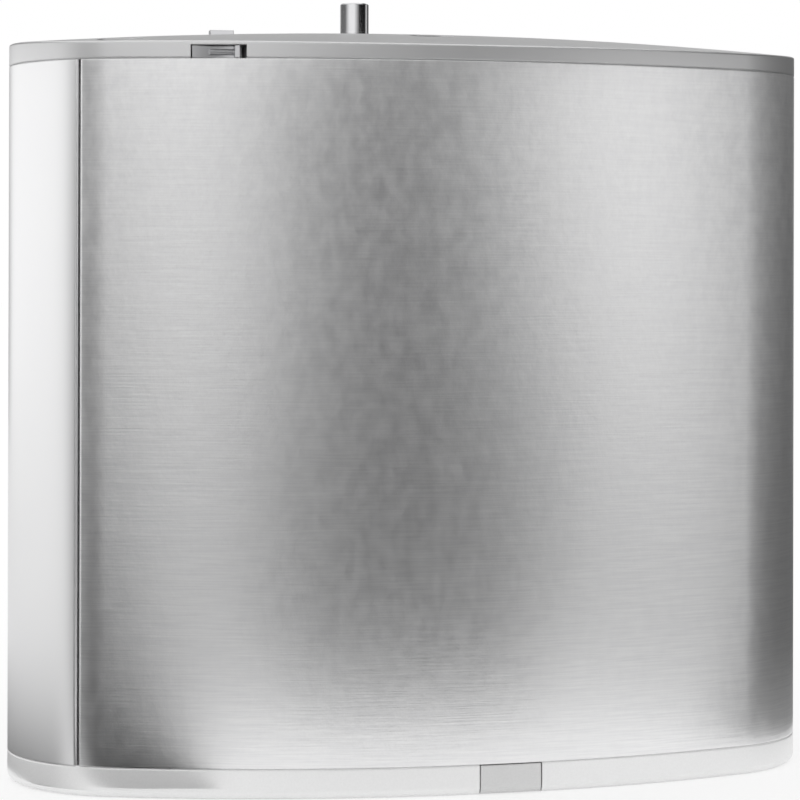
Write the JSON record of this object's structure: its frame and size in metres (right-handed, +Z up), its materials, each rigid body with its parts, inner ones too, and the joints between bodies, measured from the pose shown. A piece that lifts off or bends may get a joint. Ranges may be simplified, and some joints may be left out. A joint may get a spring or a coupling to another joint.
{
  "type": "curtain motor",
  "caption": "Curtain motor in an oval metal housing: a drive shaft and hook slots on its crowned top, a release latch, a setting button, sockets underneath and a gear train inside",
  "frame": {"origin": "middle of the flat underside of the bottom cap, on the plane that the part stands on", "axes": "+X to the right as the front is seen, along the housing's width; +Y to the back, along its depth; +Z up, along the drive shaft"},
  "size_m": [0.12, 0.052, 0.1148],
  "materials": {
    "brushed_aluminium": "brushed lengthways, clear anodised",
    "smooth_aluminium": "fine satin, clear anodised",
    "satin_casting": "satin, plated casting",
    "silver_casting": "smooth silver paint on a casting",
    "dark_moulding": "glass-filled moulding",
    "gearbox_casting": "as cast, machined seats",
    "polished_steel": "ground and polished",
    "bronze": "sintered bronze",
    "spring_steel": "hardened strip",
    "gear_steel": "sintered steel",
    "brass": "machined",
    "plated_steel": "zinc plated",
    "ferrite": "sintered ferrite",
    "light_moulding": "natural moulding",
    "graphite": "pressed carbon",
    "circuit_board": "solder resist on glass laminate",
    "black_moulding": "moulded, fine texture",
    "capacitor_sleeve": "shrink sleeve over an aluminium can",
    "relay_moulding": "moulded case",
    "silver_button": "smooth silver paint on a casting"
  },
  "bodies": {
    "housing": {"front_cover": "brushed_aluminium", "rear_shell": "smooth_aluminium", "top_cap": "satin_casting", "bottom_cap": "silver_casting", "chassis": "dark_moulding", "gearbox_tray": "gearbox_casting", "gearbox_cover": "gearbox_casting", "upper_bush": "bronze", "lower_bush": "bronze", "idler_pin": "polished_steel", "motor_can": "plated_steel", "motor_magnets": "ferrite", "motor_bushes": "bronze", "motor_end_cap": "light_moulding", "motor_brushes": "graphite", "encoder_board": "circuit_board", "encoder_sensor": "black_moulding", "control_board": "circuit_board", "power_module": "black_moulding", "storage_capacitor": "capacitor_sleeve", "relay": "relay_moulding", "radio_module": "plated_steel", "motor_plug": "light_moulding", "interface_board": "circuit_board", "board_header": "black_moulding", "power_socket": "black_moulding", "control_socket": "black_moulding", "button_switch": "black_moulding", "latch_guide": "light_moulding", "guide_screws": "plated_steel", "latch_spring": "spring_steel", "bottom_screws": "plated_steel", "drive_screws": "plated_steel", "shelf_screws": "plated_steel", "motor_screws": "plated_steel", "interface_screws": "plated_steel", "board_screws": "plated_steel"},
    "rotor": {"motor_shaft": "polished_steel", "armature": "gear_steel", "commutator": "brass", "motor_pinion": "brass", "encoder_magnet": "ferrite"},
    "idler": {"idler_gear": "gear_steel"},
    "output": {"drive_shaft": "polished_steel", "output_gear": "gear_steel", "shaft_clip": "spring_steel"},
    "latch": {"release_latch": "silver_button"},
    "button": {"setting_button": "silver_button"}
  },
  "joints": [
    {"name": "idler_spin", "type": "hinge", "parent": "housing", "child": "idler", "pos_m": [0.0131, 0, 0.0903], "axis": [0, 0, 1], "continuous": true},
    {"name": "motor_spin", "type": "hinge", "parent": "housing", "child": "rotor", "pos_m": [0.0347, 0, 0.0653], "axis": [0, 0, 1], "continuous": true},
    {"name": "shaft_spin", "type": "hinge", "parent": "housing", "child": "output", "pos_m": [-0.0085, 0, 0.1003], "axis": [0, 0, 1], "continuous": true},
    {"name": "latch_press", "type": "slide", "parent": "housing", "child": "latch", "axis": [0, 1, 0], "range_m": [0, 0.002], "stiffness_N_per_m": 500, "springref_m": -0.0005, "deforming": ["latch_spring"]},
    {"name": "button_press", "type": "slide", "parent": "housing", "child": "button", "axis": [0, 1, 0], "range_m": [0, 0.0006], "stiffness_N_per_m": 1500, "springref_m": -0.0002}
  ],
  "couplings": [
    {"joint": "idler_spin", "follows": "motor_spin", "ratio": -0.28571},
    {"joint": "shaft_spin", "follows": "motor_spin", "ratio": 0.081633}
  ]
}
